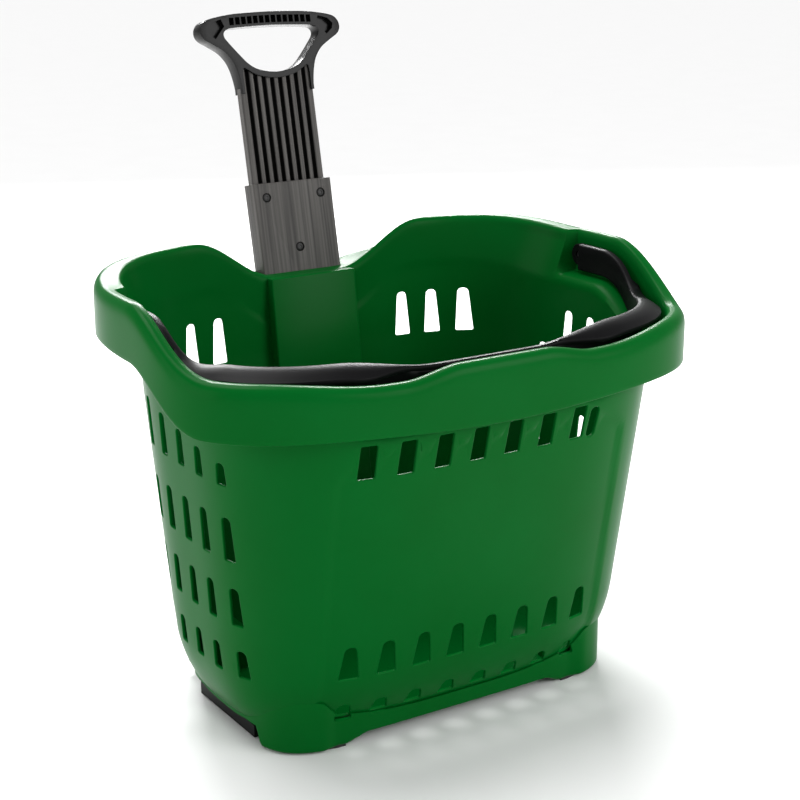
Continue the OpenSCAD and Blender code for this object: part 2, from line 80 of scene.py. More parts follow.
PLAN_POWER = 3.3                           # 2 would be an ellipse, more is squarer
BODY_A = 215.5                             # half length of the tub where the straight walls start
BODY_B = 129.0                             # half width of the tub there
STRAIGHT_Z = 85.0                          # the straight walls start here
UPRIGHT_Z = 300.0                          # above this the long walls lean out less
FLOOR_Z = BODY_LO.z + 7.0                  # outside of the tub's bottom
WALL = 3.0
END_TOP = 409.0                            # rim height at the two ends
FRONT_TOP = 354.0                          # rim height along the front
BACK_DIP = 43.0                            # how far the rim dips round the pull handle
BULGE = 28.0                               # how far the rim stands out behind the pull handle
COLUMNS = 320                              # wall grid: columns round the tub
CURVE_ROWS = 14                            # rows of the rounded bottom
WALL_ROWS = 48                             # rows of the straight wall
FIRST_COLUMN = 7 * COLUMNS // 8            # the seam sits in a front corner, clear of the slots


def clamp01(t):
    return min(1.0, max(0.0, t))


def smooth(t):
    c = clamp01(t)
    return c * c * (3 - 2 * c)


def lerp(a, b, t):
    return a + (b - a) * t


def outline(a, b, p):
    """Point of a rounded rectangle with half sizes a and b in direction p, about the plan centre."""
    c, s = math.cos(p), math.sin(p)
    r = (abs(c) ** PLAN_POWER + abs(s) ** PLAN_POWER) ** (-1 / PLAN_POWER)
    return a * r * c, b * r * s


def crest(x, y):
    """Height of the rim above the floor."""
    front = FRONT_TOP + 9 * (1 - smooth((abs(x) - 45) / 60)) + 8 * smooth((abs(x) - 120) / 110)
    back = END_TOP + 8 * smooth((y - 60) / 100)
    if y > 0:
        back -= BACK_DIP * (1 - smooth((abs(x) - 40) / 100))
    return lerp(front, back, smooth((y + 112) / 118))


def skirt(x, y):
    """Height of the lower edge of the rim skirt."""
    front = 306 + 7 * smooth(abs(x) / 200)
    back = 358 + 4 * smooth(y / 100)
    if y > 0:
        back -= 40 * (1 - smooth((abs(x) - 40) / 100))
    return lerp(front, back, smooth((y + 105) / 105))


def crest_at(p):
    return crest(*outline(RIM_A, RIM_B, p))


def wall_sizes(z, drop):
    """Half sizes of the outer wall at height z; drop tells how far the bottom has turned in (0 to 1)."""
    a = BODY_A + 0.066 * (z - STRAIGHT_Z) - 40 * drop
    b = BODY_B + 0.16 * (min(z, UPRIGHT_Z) - STRAIGHT_Z) + 0.06 * max(0.0, z - UPRIGHT_Z) - 30 * drop
    return a, b


def column_angle(u):
    return 2 * math.pi * u / COLUMNS


def wall_height(u, t):
    """Height and bottom turn-in at column u and row t of the wall grid."""
    if t < CURVE_ROWS:
        turn = math.pi / 2 * (1 - t / CURVE_ROWS)
        return STRAIGHT_Z - (STRAIGHT_Z - FLOOR_Z) * math.sin(turn), 1 - math.cos(turn)
    top = crest_at(column_angle(u)) - 50
    return lerp(STRAIGHT_Z, top, (t - CURVE_ROWS) / WALL_ROWS), 0.0


def wall_row(u, z):
    """Row of the wall grid at height z in column u."""
    if z < STRAIGHT_Z:
        turn = math.asin((STRAIGHT_Z - z) / (STRAIGHT_Z - FLOOR_Z))
        return CURVE_ROWS * (1 - turn / (math.pi / 2))
    top = crest_at(column_angle(u)) - 50
    return CURVE_ROWS + WALL_ROWS * (z - STRAIGHT_Z) / (top - STRAIGHT_Z)


def wall_base(u, t):
    z, drop = wall_height(u, t)
    a, b = wall_sizes(z, drop)
    x, y = outline(a, b, column_angle(u))
    return Vector((x, y, z))


def panel_sink(x, y, z):
    """The front panel stands back from the corners by a soft step."""
    if y > 0:
        return 0.0
    side = smooth((157 - abs(x)) / 7)
    top = smooth((292 - z - 0.012 * max(0.0, abs(x) - 110) ** 2) / 7)
    return 2.2 * side * top


def wall_point(u, t, depth):
    """Point of the wall, depth under the outer skin."""
    step = 0.02
    here = wall_base(u, t)
    along = wall_base(u + step, t) - wall_base(u - step, t)
    up = wall_base(u, min(t + step, CURVE_ROWS + WALL_ROWS)) - wall_base(u, max(t - step, 0))
    out = along.cross(up).normalized()
    return here - out * (depth + panel_sink(*here))


# ---- mesh helpers ------------------------------------------------------------

def to_object(name, points, faces, material, smooth_deg=38.0):
    """New object from millimetre points; edges sharper than smooth_deg stay sharp."""
    mesh = bpy.data.meshes.new(name)
    mesh.from_pydata([[c * MM for c in p] for p in points], [], faces)
    mesh.validate()
    mesh.polygons.foreach_set("use_smooth", [True] * len(mesh.polygons))
    mesh.set_sharp_from_angle(angle=math.radians(smooth_deg))
    obj = bpy.data.objects.new(name, mesh)
    bpy.context.scene.collection.objects.link(obj)
    if material:
        mesh.materials.append(material)
    return obj


def bake_modifiers(obj, smooth_deg=38.0):
    """Turns the modifiers of obj into plain mesh."""
    bpy.context.view_layer.update()
    result = obj.evaluated_get(bpy.context.evaluated_depsgraph_get())
    mesh = bpy.data.meshes.new_from_object(result)
    obj.modifiers.clear()
    obj.data = mesh
    mesh.polygons.foreach_set("use_smooth", [True] * len(mesh.polygons))
    mesh.set_sharp_from_angle(angle=math.radians(smooth_deg))
    return obj


def bevel(obj, width, segments=3, angle=35.0):
    mod = obj.modifiers.new("bevel", "BEVEL")
    mod.width = width * MM
    mod.segments = segments
    mod.limit_method = "ANGLE"
    mod.angle_limit = math.radians(angle)
    return bake_modifiers(obj)


def boolean(obj, other, operation):
    """Cuts or joins other (used up) into obj."""
    mod = obj.modifiers.new("bool", "BOOLEAN")
    mod.operation = operation
    mod.solver = "EXACT"
    mod.object = other
    bake_modifiers(obj)
    bpy.data.objects.remove(other)
    return obj


def upright(x, y, z):
    return x, y, z


def in_handle(x, v, w):
    """Row-frame point of the handle frame: v is depth behind the sleeve front, w runs up the handle."""
    sine, cosine = math.sin(LEAN), math.cos(LEAN)
    return x, ROOT_Y + w * sine + v * cosine, ROOT_Z + w * cosine - v * sine


def block(name, lo, hi, material=None, place=upright):
    """Box between two corners, mapped by place."""
    corners = [(x, y, z) for x in (lo[0], hi[0]) for y in (lo[1], hi[1]) for z in (lo[2], hi[2])]
    faces = [(0, 1, 3, 2), (4, 6, 7, 5), (0, 4, 5, 1), (2, 3, 7, 6), (0, 2, 6, 4), (1, 5, 7, 3)]
    return to_object(name, [place(*c) for c in corners], faces, material)


def prism(name, loop, near, far, place, material=None):
    """Closed counter-clockwise loop of (a, b) pairs swept from near to far; place(a, s, b) maps it."""
    n = len(loop)
    points = [place(a, s, b) for s in (near, far) for a, b in loop]
    faces = [tuple(range(n)), tuple(range(2 * n - 1, n - 1, -1))]
    faces += [(i, n + i, n + (i + 1) % n, (i + 1) % n) for i in range(n)]
    return to_object(name, points, faces, material)


def inside_loop(x, y, loop):
    """True when (x, y) is inside the closed loop."""
    hits = 0
    for (x0, y0), (x1, y1) in zip(loop, loop[1:] + loop[:1]):
        if (y0 > y) != (y1 > y) and x < x0 + (y - y0) * (x1 - x0) / (y1 - y0):
            hits += 1
    return hits % 2 == 1


def plate(name, loops, near, far, place, material):
    """Flat plate from an outer loop and hole loops, swept from near to far."""
    flat = [Vector(q) for loop in loops for q in loop]
    edges, start = [], 0
    for loop in loops:
        edges += [(start + i, start + (i + 1) % len(loop)) for i in range(len(loop))]
        start += len(loop)
    verts, _, tris, origin, _, _ = delaunay_2d_cdt(flat, edges, [], 0, 1e-6, True)
    spots = {i: v for v, sources in enumerate(origin) for i in sources}
    n = len(verts)
    points = [place(v.x, s, v.y) for s in (near, far) for v in verts]
    faces = []
    for tri in tris:
        cx, cy = (sum(verts[v][k] for v in tri) / 3 for k in (0, 1))
        if inside_loop(cx, cy, loops[0]) and not any(inside_loop(cx, cy, hole) for hole in loops[1:]):
            faces += [tuple(tri), tuple(n + v for v in reversed(tri))]
    for a, b in edges:
        a, b = spots[a], spots[b]
        faces.append((a, b, n + b, n + a))
    obj = to_object(name, points, faces, material)
    close_normals(obj)
    return obj


def close_normals(obj):
    """Points all faces of a closed mesh outwards."""
    mesh = bmesh.new()
    mesh.from_mesh(obj.data)
    bmesh.ops.recalc_face_normals(mesh, faces=mesh.faces)
    mesh.to_mesh(obj.data)
    mesh.free()


def curve_through(points, steps=6):
    """Smooth open curve through the points."""
    ends = [points[0]] + list(points) + [points[-1]]
    result = []
    for i in range(1, len(ends) - 2):
        p0, p1, p2, p3 = ends[i - 1:i + 3]
        for k in range(steps):
            t = k / steps
            result.append(tuple(
                0.5 * (2 * b + (c - a) * t + (2 * a - 5 * b + 4 * c - d) * t * t
                       + (3 * b - a - 3 * c + d) * t ** 3)
                for a, b, c, d in zip(p0, p1, p2, p3)))
    return result + [tuple(points[-1])]


def mirrored(half):
    return half + [(-a, b) for a, b in reversed(half) if abs(a) > 1e-6]


def tube_faces(rings, size, closed):
    """Faces between neighbouring rings of size points; closed joins the last ring to the first."""
    return [(i * size + k, i * size + (k + 1) % size, j * size + (k + 1) % size, j * size + k)
            for i in range(rings if closed else rings - 1) for j in [(i + 1) % rings] for k in range(size)]


def flip_if_inside_out(obj):
    """Makes the faces of a closed mesh point outwards."""
    mesh = obj.data
    volume = 0.0
    for face in mesh.polygons:
        a = mesh.vertices[face.vertices[0]].co
        for i in range(1, len(face.vertices) - 1):
            b, c = mesh.vertices[face.vertices[i]].co, mesh.vertices[face.vertices[i + 1]].co
            volume += a.dot(b.cross(c))
    if volume < 0:
        mesh.flip_normals()


def lathe(name, profile, centre, axis, material, count=48):
    """Turns a closed (offset, radius) profile round the line through centre along axis."""
    axis = Vector(axis).normalized()
    side = axis.orthogonal().normalized()
    across = axis.cross(side)
    points = []
    for i in range(count):
        turn = 2 * math.pi * i / count
        radial = side * math.cos(turn) + across * math.sin(turn)
        points += [tuple(Vector(centre) + axis * s + radial * r) for s, r in profile]
    obj = to_object(name, points, tube_faces(count, len(profile), True), material)
    flip_if_inside_out(obj)
    return obj


# ---- slots -------------------------------------------------------------------

class Slot:
    """One tapered hole in a wall. side: 'front', 'back', 'left' or 'right'; at: place along that side."""

    def __init__(self, side, at, low, wide, narrow, tall, top_r=None):
        self.side, self.at, self.low = side, at, low
        self.wide, self.narrow, self.tall = wide, narrow, tall
        self.top_r = top_r or narrow * 0.42

    def loop(self, grow):
        """Outline grown by grow, as (along, z) pairs."""
        base_r, top_r = (1.6 if self.wide > self.narrow else self.wide * 0.45), self.top_r
        top = self.low + self.tall
        corners = [(self.at - self.wide / 2 + base_r, self.low + base_r, base_r, 180, 270, 3),
                   (self.at + self.wide / 2 - base_r, self.low + base_r, base_r, 270, 360, 3),
                   (self.at + self.narrow / 2 - top_r, top - top_r, top_r, 0, 90, 5),
                   (self.at - self.narrow / 2 + top_r, top - top_r, top_r, 90, 180, 5)]
        points = [(cx + (r + grow) * math.cos(math.radians(lerp(a0, a1, k / n))),
                   cz + (r + grow) * math.sin(math.radians(lerp(a0, a1, k / n))))
                  for cx, cz, r, a0, a1, n in corners for k in range(n + 1)]
        return points[::-1] if self.side in ("back", "left") else points

    def grid_spot(self, along, z):
        """Column and row of a point of this wall."""
        drop = 0.0
        if z < STRAIGHT_Z:
            drop = 1 - math.sqrt(max(0.0, 1 - ((STRAIGHT_Z - z) / (STRAIGHT_Z - FLOOR_Z)) ** 2))
        a, b = wall_sizes(z, drop)
        if self.side in ("front", "back"):
            across = along / a
            other = (1 - abs(across) ** PLAN_POWER) ** (1 / PLAN_POWER)
            p = math.atan2(other if self.side == "back" else -other, across)
        else:
            across = along / b
            other = (1 - abs(across) ** PLAN_POWER) ** (1 / PLAN_POWER)
            p = math.atan2(across, other if self.side == "right" else -other)
        u = p / (2 * math.pi) * COLUMNS
        while u < FIRST_COLUMN:
            u += COLUMNS
        return u, wall_row(u, z)


def all_slots():
    slots = []
    for i in range(8):
        x = (i - 3.5) * 36.6
        if i < 7:
            slots.append(Slot("front", x, 268, 16, 15, 32, 1.5))
        slots.append(Slot("front", x, 71, 19, 12, 33))
        slots.append(Slot("front", x * 0.99, 27.5, 17, 13, 14))
    slots.append(Slot("front", 110, 266, 11, 11, 30))
    top_row = {"left": (20, 26.5, 33, 39.5, 46), "right": (20, 26.5, 72, 72, 33)}
    for i in range(5):
        y = (i - 2) * 34
        for side in ("left", "right"):
            wide = 15 if top_row[side][i] > 50 else 12
            slots.append(Slot(side, y, 258, wide, 0.85 * wide, top_row[side][i]))
            slots.append(Slot(side, y, 187, 13, 11, 41))
            slots.append(Slot(side, y, 125, 12.5, 10.6, 36))
            slots.append(Slot(side, y, 73, 12, 10.2, 27))
    for x in [107 + 33 * i for i in range(3)]:
        for side_x in (-x, x):
            slots.append(Slot("back", side_x, 296, 17, 11, 45))
    return slots


SUPPORT = 2.3                              # distance of the edge loop round each slot
LIP = 0.9                                  # size of the rounding on slot edges
LIP_RINGS = [(1.0, 0.0), (0.62, 0.08), (0.3, 0.3), (0.08, 0.62), (0.0, 1.0)]


def shell_mesh():
    """The tub with its slots, rounded bottom and rim, as one closed surface."""
    rows = CURVE_ROWS + WALL_ROWS
    slots = all_slots()
    points, faces = [], []

    def add(p):
        points.append((p[0], p[1] + PLAN_Y, p[2]))
        return len(points) - 1

    # grid of the wall, outer and inner skin
    columns = [FIRST_COLUMN + i for i in range(COLUMNS)]
    skins = []
    for depth in (0.0, WALL):
        skins.append([[add(wall_point(u, t, depth)) for t in range(rows + 1)] for u in columns])
    outer, inner = skins

    # cells taken over by slots
    busy = set()
    spots = []
    for slot in slots:
        loops = [[slot.grid_spot(*q) for q in slot.loop(g)] for g in (LIP, SUPPORT)]
        spots.append(loops)
        us = [u - FIRST_COLUMN for u, t in loops[1]]
        ts = [t for u, t in loops[1]]
        for i in range(math.floor(min(us) - 0.35), math.floor(max(us) + 0.35) + 1):
            for k in range(math.floor(min(ts) - 0.35), math.floor(max(ts) + 0.35) + 1):
                busy.add((i, min(k, rows - 1)))

    for i in range(COLUMNS):
        j = (i + 1) % COLUMNS
        for k in range(rows):
            if (i, k) not in busy:
                faces.append((outer[i][k], outer[j][k], outer[j][k + 1], outer[i][k + 1]))
                faces.append((inner[i][k], inner[i][k + 1], inner[j][k + 1], inner[j][k]))

    # triangles fill the busy cells round the slot loops
    flat, index_out, index_in = [], [], []
    edges, holes = [], []

    def put(u, t, io, ii):
        flat.append(Vector((u, t)))
        index_out.append(io)
        index_in.append(ii)
        return len(flat) - 1

    corner = {}
    boxes = [(min(u for u, t in l[1]) - FIRST_COLUMN, max(u for u, t in l[1]) - FIRST_COLUMN,
              min(t for u, t in l[1]), max(t for u, t in l[1])) for l in spots]
    for i, k in sorted(busy):
        for ci, ck in ((i, k), (i + 1, k), (i + 1, k + 1), (i, k + 1)):
            if (ci, ck) in corner:
                continue
            if any(a - 0.3 < ci < b + 0.3 and c - 0.3 < ck < d + 0.3 for a, b, c, d in boxes):
                continue
            corner[ci, ck] = put(ci, ck, outer[ci % COLUMNS][ck], inner[ci % COLUMNS][ck])
    for i, k in busy:
        for (di, dk), (a, b) in (((-1, 0), ((i, k), (i, k + 1))), ((1, 0), ((i + 1, k), (i + 1, k + 1))),
                                 ((0, -1), ((i, k), (i + 1, k))), ((0, 1), ((i, k + 1), (i + 1, k + 1)))):
            if (i + di, k + dk) not in busy and a in corner and b in corner:
                edges.append((corner[a], corner[b]))
    rims = []
    for lip, support in spots:
        for loop, is_hole in ((lip, True), (support, False)):
            ids = [put(u - FIRST_COLUMN, t, add(wall_point(u, t, 0.0)), add(wall_point(u, t, WALL)))
                   for u, t in loop]
            if is_hole:
                holes.append(ids)
                rims.append(ids)
            else:
                edges += [(ids[n], ids[(n + 1) % len(ids)]) for n in range(len(ids))]
    verts, _, tris, origin, _, tri_origin = delaunay_2d_cdt(flat, edges, holes, 0, 1e-6, True)
    for tri, source in zip(tris, tri_origin):
        if source:
            continue
        centre = sum((verts[v] for v in tri), Vector((0, 0))) / 3
        if (math.floor(centre.x), math.floor(centre.y)) not in busy:
            continue
        ids = [origin[v][0] for v in tri]
        faces.append(tuple(index_out[v] for v in ids))
        faces.append(tuple(index_in[v] for v in reversed(ids)))

    # rounded edges through each slot
    for slot, ids in zip(slots, rims):
        previous = [index_out[v] for v in ids]
        depths = [(LIP * g, LIP * d) for g, d in LIP_RINGS[1:]]
        depths += [(g, WALL - d) for g, d in reversed(depths)]
        for grow, depth in depths:
            ring = [add(wall_point(*slot.grid_spot(*q), depth)) for q in slot.loop(grow)]
            bridge(faces, previous, ring)
            previous = ring
        bridge(faces, previous, [index_in[v] for v in ids])

    # floor plate
    for skin, flip in ((outer, False), (inner, True)):
        floor_plate(points, faces, [column[0] for column in skin], flip)

    # rim
    rings = []
    for u in columns:
        rings.append([add(q) for q in rim_column(column_angle(u))])
    for i in range(COLUMNS):
        j = (i + 1) % COLUMNS
        here = [outer[i][rows]] + rings[i] + [inner[i][rows]]
        there = [outer[j][rows]] + rings[j] + [inner[j][rows]]
        for k in range(len(here) - 1):
            faces.append((here[k], there[k], there[k + 1], here[k + 1]))
    return points, faces


def bridge(faces, first, second):
    n = len(first)
    for i in range(n):
        j = (i + 1) % n
        faces.append((first[j], first[i], second[i], second[j]))


def floor_plate(points, faces, ring, flip):
    """Fills the bottom inside ring with a few concentric rings."""
    n = len(ring)
    previous = ring
    centre = Vector((0, PLAN_Y, points[ring[0]][2]))
    for share in (0.93, 0.8, 0.6, 0.3):
        nxt = []
        for v in ring:
            p = centre.lerp(Vector(points[v]), share)
            points.append(tuple(p))
            nxt.append(len(points) - 1)
        for i in range(n):
            j = (i + 1) % n
            quad = (previous[i], nxt[i], nxt[j], previous[j])
            faces.append(quad[::-1] if flip else quad)
        previous = nxt
    faces.append(tuple(previous) if flip else tuple(reversed(previous)))


def rim_column(p):
    """Cross-section of the rim in direction p, from the top of the outer wall round to the inner wall."""
    x, y = outline(RIM_A, RIM_B, p)
    top, low = crest(x, y), skirt(x, y)
    channel = 1 - smooth((y - 61) / 4)          # the bail channel starts just behind the pivots
    ia, ib = lerp(23, 12, channel), lerp(9, 12, channel)
    deep = lerp(24, 41, channel)
    swell = BULGE * (1 - smooth((abs(x) - 58) / 30)) if y > 0 else 0.0

    def at(a, b, z, bulges=0.0):
        qx, qy = outline(RIM_A - a, RIM_B - b, p)
        return qx, qy + swell * bulges, z

    under = [(lerp(38.5, 36, channel), lerp(9.8, 14.5, channel), top - 48.8),
             (lerp(37.5, 29, channel), lerp(9.7, 15.5, channel), top - 47.4),
             (lerp(29, ia + 3, channel), ib + 1.5 * channel, top - deep - 4.8),
             (lerp(27.6, ia + 0.6, channel), ib + 0.4, top - deep - 3.4),
             (lerp(26, ia, channel), ib, top - deep), (ia, ib, top - 14), (ia - 1, ib - 0.7, top - 11.5),
             (ia - 3, ib - 1.6, top - 10)]
    points = [at(*q) for q in under]
    lip = [(5.5, 5.5, top - 9.4), (4.2, 4.2, top - 11), (3.2, 3.2, top - 16)]
    lip += [(3, 3, lerp(top - 16, low + 4, s)) for s in (0.33, 0.67, 1)]
    lip += [(3, 3, low + 0.9), (2.7, 2.7, low + 0.3), (2.1, 2.1, low), (0.9, 0.9, low),
            (0.3, 0.3, low + 0.3), (0, 0, low + 0.9)]
    lip += [(0, 0, lerp(low + 4, top - 15, s / 6)) for s in range(7)]
    lip += [(0.12, 0.12, top - 11.5), (0.5, 0.5, top - 8.6), (1.2, 1.2, top - 6), (2.2, 2.2, top - 3.9),
            (3.5, 3.5, top - 2.2), (5, 5, top - 1), (6.8, 6.8, top - 0.3), (9, 9, top)]
    points += [at(*q, 1.0) for q in lip]
    if swell > 0:
        points += [at(9, 9, top, s) for s in (0.8, 0.6, 0.4, 0.2)]
    else:
        points += [at(lerp(9, ia + 0.6, s), lerp(9, ib + 0.6, s), lerp(top, top - 0.5, s))
                   for s in (0.2, 0.4, 0.6, 0.8)]
    inside = [(ia + 0.6, ib + 0.6, top - 0.5), (ia + 1.9, ib + 1.9, top - 1.7), (ia + 3, ib + 3, top - 3.6),
              (ia + 3.7, ib + 3.7, top - 6.2), (ia + 4, ib + 4, top - 9.5)]
    stepped = [(ia + 4, ib + 4, lerp(top - 9.5, top - deep + 4, s)) for s in (0.33, 0.67, 1)]
    stepped += [(ia + 4.4, ib + 4.2, top - deep + 1.4), (ia + 5.6, ib + 5.6, top - deep - 0.4),
                (ia + 8, ib + 6.6, top - deep - 1.2), (32.4, 20, top - 43.2), (37.5, 20, top - 44.3),
                (40.2, 18.6, top - 46.2)]
    for k, step in enumerate(stepped):
        share = (k + 1) / (len(stepped) + 1)
        straight = (lerp(27, 42, share), lerp(13, 13.2, share), lerp(top - 9.5, top - 50, share))
        inside.append([lerp(a, b, channel) for a, b in zip(straight, step)])
    return points + [at(*q) for q in inside]


# ---- materials -----------------------------------------------------------------

def plastic(name, base, dark, rough, grain, bump, shine=0.5, stretch=(1, 1, 1), tilt=0.0):
    """Moulded plastic: two shades mixed by noise, uneven gloss and a fine grain.

    stretch draws the noise out along an axis that is tilted from the upright by tilt.
    """
    material = bpy.data.materials.new(name)
    material.use_nodes = True
    nodes, links = material.node_tree.nodes, material.node_tree.links
    shader = nodes["Principled BSDF"]
    shader.inputs["Specular IOR Level"].default_value = shine
    where = nodes.new("ShaderNodeTexCoord")
    mapping = nodes.new("ShaderNodeMapping")
    mapping.vector_type = "TEXTURE"
    mapping.inputs["Rotation"].default_value = (-tilt, 0, 0)
    mapping.inputs["Scale"].default_value = stretch
    links.new(where.outputs["Object"], mapping.inputs["Vector"])
    broad = nodes.new("ShaderNodeTexNoise")
    broad.inputs["Scale"].default_value = 9
    broad.inputs["Detail"].default_value = 4
    links.new(mapping.outputs["Vector"], broad.inputs["Vector"])
    shades = nodes.new("ShaderNodeValToRGB")
    shades.color_ramp.elements[0].position = 0.3
    shades.color_ramp.elements[0].color = (*dark, 1)
    shades.color_ramp.elements[1].position = 0.7
    shades.color_ramp.elements[1].color = (*base, 1)
    links.new(broad.outputs["Fac"], shades.inputs["Fac"])
    links.new(shades.outputs["Color"], shader.inputs["Base Color"])
    gloss = nodes.new("ShaderNodeMapRange")
    gloss.inputs["To Min"].default_value = rough * 0.88
    gloss.inputs["To Max"].default_value = rough * 1.12
    links.new(broad.outputs["Fac"], gloss.inputs["Value"])
    links.new(gloss.outputs["Result"], shader.inputs["Roughness"])
    fine = nodes.new("ShaderNodeTexNoise")
    fine.inputs["Scale"].default_value = grain
    fine.inputs["Detail"].default_value = 3
    links.new(mapping.outputs["Vector"], fine.inputs["Vector"])
    relief = nodes.new("ShaderNodeBump")
    relief.inputs["Strength"].default_value = bump
    relief.inputs["Distance"].default_value = 0.0004
    links.new(fine.outputs["Fac"], relief.inputs["Height"])
    links.new(relief.outputs["Normal"], shader.inputs["Normal"])
    return material


STREAKS = (1 / 45, 1 / 45, 1.6)            # fine streaks along the handle

GREEN = plastic("body_green", (0.0, 0.108, 0.0135), (0.0, 0.096, 0.0105), 0.3, 900, 0.1, 0.045)
HANDLE = plastic("handle_grey", (0.125, 0.117, 0.11), (0.04, 0.037, 0.035), 0.42, 700, 0.3, 0.25,
                 STREAKS, LEAN)
# painted shade: near-black material for the faces down in the handle flutes, in place of the shade that
# falls there
GROOVE_SHADE = plastic("groove_painted_shade", (0.012, 0.012, 0.012), (0.007, 0.007, 0.007), 0.5, 700, 0.2, 0.1)
GRIP = plastic("grip_black", (0.006, 0.006, 0.006), (0.003, 0.003, 0.003), 0.24, 700, 0.15, 0.12)
BLACK = plastic("black", (0.0045, 0.0045, 0.005), (0.0025, 0.0025, 0.003), 0.42, 1200, 0.2, 0.09)
DARK = plastic("hub_grey", (0.05, 0.05, 0.05), (0.035, 0.035, 0.035), 0.5, 900, 0.3)
RUBBER = plastic("rubber", (0.014, 0.014, 0.014), (0.009, 0.009, 0.009), 0.7, 1500, 0.5)
STEEL = plastic("zinc_steel", (0.42, 0.42, 0.43), (0.32, 0.32, 0.33), 0.34, 700, 0.2)
STEEL.node_tree.nodes["Principled BSDF"].inputs["Metallic"].default_value = 1.0
SCREW = plastic("black_steel", (0.02, 0.02, 0.02), (0.01, 0.01, 0.01), 0.4, 700, 0.2)
SCREW.node_tree.nodes["Principled BSDF"].inputs["Metallic"].default_value = 0.6


# ---- basket -------------------------------------------------------------------

DUCT_HALF = SLEEVE_HALF + 0.5
DUCT_LOW = -312.0                          # lower end of the duct along the handle
RAIL_TOP = -96.0                           # upper end of the rails along the handle
WELL_HALF = 19.5                           # half width of the room for a wheel


def lug_track():
    """Room for the stop lugs at the lower end of the sleeve."""
    half = DUCT_HALF + 3
    return block("lug_track", (-half, 4, -319), (half, 14, 12 - SLEEVE_LEN), None, in_handle)


def well_cut(side):
    """Room for one wheel and its carrier."""
    x = side * WHEEL.x
    return block("well_cut", (x - WELL_HALF, PLAN_Y + 73, -1), (x + WELL_HALF, PLAN_Y + 155, 49))


def cut_tools():
    """What the sleeve duct and the wheel wells take out of the tub."""
    duct = block("duct_cut", (-DUCT_HALF, -0.6, DUCT_LOW - 6), (DUCT_HALF, SLEEVE_DEEP + 0.6, -60), None,
                 in_handle)
    return [duct, lug_track(), well_cut(-1), well_cut(1)]


def build_tub():
    points, faces = shell_mesh()
    tub = to_object("tub", points, faces, GREEN)
    for tool in cut_tools():
        boolean(tub, tool, "DIFFERENCE")
    green_part(tub)


def green_part(obj):
    """Makes obj a piece of the basket moulding."""
    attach(obj, "basket")
    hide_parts("basket_body")


def build_duct():
    """Panel inside the back wall and the channel behind it that guides the sleeve."""
    half, back = DUCT_HALF, SLEEVE_DEEP + 0.6

    def across(a, s, b):
        return s, a + PLAN_Y, b

    low_back = in_handle(0, back, DUCT_LOW)
    top_back = in_handle(0, back, -88)
    loop = [(156.5, 374), (124.5, 157)] + [(q[1] - PLAN_Y, q[2]) for q in (low_back, top_back)]
    panel = prism("duct_panel", loop[::-1], -half - 3.4, half + 3.4, across, GREEN)
    bevel(panel, 1.6)
    room = block("cut", (-half, -0.6, DUCT_LOW - 6), (half, 60, -60), None, in_handle)
    boolean(panel, room, "DIFFERENCE")
    boolean(panel, lug_track(), "DIFFERENCE")
    green_part(panel)
    rail = half + 15.5
    rails = block("duct_rails", (-rail, 9, DUCT_LOW), (rail, back, RAIL_TOP), GREEN, in_handle)
    room = block("cut", (-half, 0, DUCT_LOW - 6), (half, 60, -60), None, in_handle)
    boolean(rails, room, "DIFFERENCE")
    boolean(rails, lug_track(), "DIFFERENCE")
    bevel(rails, 1.0, 2)
    green_part(rails)
    strap = block("duct_bridge", (-rail, back, -150), (rail, SLEEVE_DEEP + 4.2, RAIL_TOP), GREEN, in_handle)
    green_part(bevel(strap, 1.2))


def build_wells():
    for side, name in ((-1, "well_left"), (1, "well_right")):
        x = side * WHEEL.x
        half = WELL_HALF + WALL
        outer = block(name, (x - half, PLAN_Y + 70, FLOOR_Z + 0.5), (x + half, PLAN_Y + 118, 52), GREEN)
        bevel(outer, 2.5)
        boolean(outer, well_cut(side), "DIFFERENCE")
        green_part(outer)


BASE_A = 193.0
BASE_B = 107.0
BASE_POWER = 5.0
FOOT_BULGE = 6.0                           # how far the feet stand out in front of the ring
BASE_FRONT = 9.5                           # lower edge of the base ring in the middle of the front
BASE_SIDE = 20.0                           # lower edge at the ends and the back
FOOT_EDGE = 1.0                            # lower edge round the feet, just above the floor


def base_outline(p, inset):
    c, s = math.cos(p), math.sin(p)
    r = (abs(c) ** BASE_POWER + abs(s) ** BASE_POWER) ** (-1 / BASE_POWER)
    x = (BASE_A - inset) * r * c
    bulge = FOOT_BULGE * smooth((abs(x) - 130) / 20) if s < 0 else 0.0
    return x, (BASE_B + bulge - inset) * r * s


def base_low(x, y):
    """Lower edge of the base ring: down at the two front feet."""
    if y < -66:
        return lerp(BASE_FRONT, FOOT_EDGE, smooth((abs(x) - 100) / 24))
    return lerp(FOOT_EDGE, BASE_SIDE, smooth((y + 66) / 6))


def tub_over(x, y):
    """Height where the tub wall passes over plan point (x, y)."""
    low, high = FLOOR_Z, STRAIGHT_Z
    for _ in range(14):
        z = (low + high) / 2
        drop = 1 - math.sqrt(1 - ((STRAIGHT_Z - z) / (STRAIGHT_Z - FLOOR_Z)) ** 2)
        a, b = wall_sizes(z, drop)
        if (abs(x) / a) ** PLAN_POWER + (abs(y) / b) ** PLAN_POWER > 1:
            low = z
        else:
            high = z
    return high


def base_section(p):
    """Cross-section of the base ring, its bottom edges rounded."""
    x, y = base_outline(p, 0)
    top = tub_over(x, y) + 0.9
    low = min(base_low(x, y), top - 4)
    soft = 4.0 * smooth((8 - low) / 5)
    if soft > 0.1:
        outer = [(soft * (1 - math.sin(a)), low + soft * (1 - math.cos(a)))
                 for a in (0.0, 0.3, 0.6, 0.9, 1.2, math.pi / 2)]
    else:
        outer = [(0.4 * k / 5, low + 0.4 - 0.08 * k) for k in range(5, -1, -1)]
    outer += [(0, lerp(low + 6, top, k / 5)) for k in range(6)]
    inner = [(WALL, top), (max(WALL, soft + 0.8), low + 0.3)]
    return [(*base_outline(p, inset), z) for inset, z in outer + inner]


